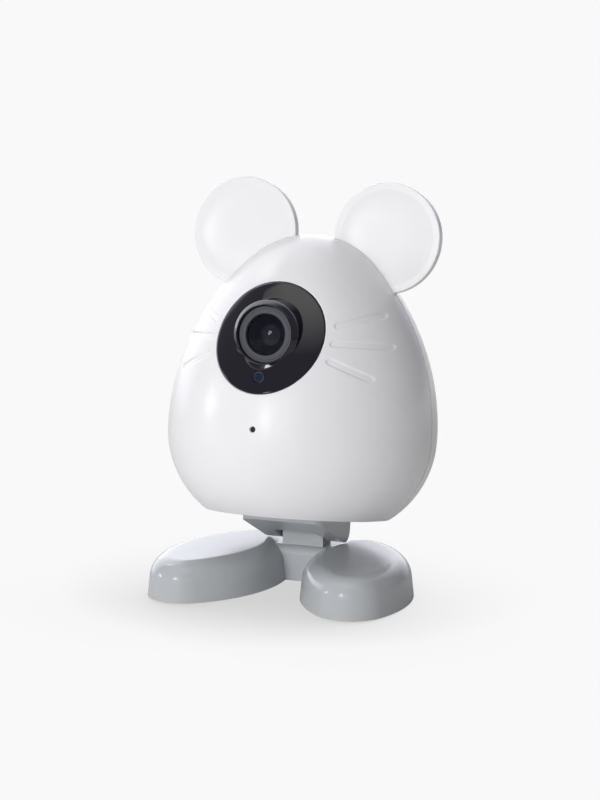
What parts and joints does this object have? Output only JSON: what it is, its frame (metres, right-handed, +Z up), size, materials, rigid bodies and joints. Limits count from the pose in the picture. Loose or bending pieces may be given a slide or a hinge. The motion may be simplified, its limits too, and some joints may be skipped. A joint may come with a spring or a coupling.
{
  "type": "pet camera",
  "caption": "Desk camera for watching a pet: an egg-shaped head with round ears and a dark lens window, tilting on a pin hinge above splayed feet.",
  "frame": {"origin": "on the surface that the camera stands on, in its mid-plane, under the middle of its overall box", "axes": "+Z up; the lens looks along -Y, 10.2 degrees upwards at rest; +X to the right of a person who faces the lens"},
  "size_m": [0.082, 0.0823, 0.1225],
  "materials": {
    "shell_white": "white moulded ABS, satin gloss",
    "window_black": "black infrared-clear plastic, polished",
    "barrel_grey": "dark grey moulding, matte",
    "lens_glass": "coated optical glass",
    "pipe_clear": "clear acrylic with a blue glow",
    "base_grey": "light cool grey moulded ABS, half gloss",
    "rubber_black": "black silicone rubber",
    "screw_steel": "zinc-plated or tinned steel",
    "ballast_steel": "stamped steel plate",
    "board_green": "green solder mask on glass fibre",
    "chip_black": "black moulded plastic",
    "cone_black": "black coated paper",
    "antenna_metal": "plated antenna block",
    "flex_film": "amber film with copper tracks"
  },
  "bodies": {
    "base": {"base_shell": "base_grey", "left_foot_cover": "base_grey", "right_foot_cover": "base_grey", "left_ballast": "ballast_steel", "right_ballast": "ballast_steel", "cover_screws": "screw_steel", "foot_pads": "rubber_black"},
    "head": {"front_shell": "shell_white", "rear_shell": "shell_white", "left_ear": "shell_white", "right_ear": "shell_white", "lens_window": "window_black", "window_gasket": "rubber_black", "lens_barrel": "barrel_grey", "front_lens": "lens_glass", "rear_lens": "lens_glass", "infrared_filter": "lens_glass", "lens_holder": "chip_black", "image_sensor": "chip_black", "sensor_board": "board_green", "sensor_screws": "screw_steel", "lamp_board": "board_green", "infrared_lamps": "window_black", "light_pipe": "pipe_clear", "light_sensor": "chip_black", "mic_boot": "rubber_black", "microphone": "screw_steel", "speaker_frame": "screw_steel", "speaker_cone": "cone_black", "speaker_magnet": "screw_steel", "speaker_gasket": "rubber_black", "main_board": "board_green", "board_screws": "screw_steel", "processor_shield": "screw_steel", "antenna": "antenna_metal", "flex_cable": "flex_film", "flex_connectors": "chip_black", "inlet_shell": "screw_steel", "inlet_tongue": "chip_black", "card_socket": "screw_steel", "reset_switch": "chip_black", "shell_screws": "screw_steel", "bracket_screws": "screw_steel", "hinge_bracket": "base_grey", "hinge_pin": "screw_steel", "hinge_cap": "base_grey", "friction_washers": "screw_steel"},
    "reset": {"reset_button": "base_grey"}
  },
  "joints": [
    {"name": "head_tilt", "type": "hinge", "parent": "base", "child": "head", "pos_m": [0, 0.0031, 0.0162], "axis": [-1, 0, 0], "range_deg": [-25, 30]},
    {"name": "reset_press", "type": "slide", "parent": "head", "child": "reset", "axis": [0, -0.9842, 0.1771], "range_m": [0, 0.0006], "stiffness_N_per_m": 1600, "springref_m": -0.0004}
  ]
}
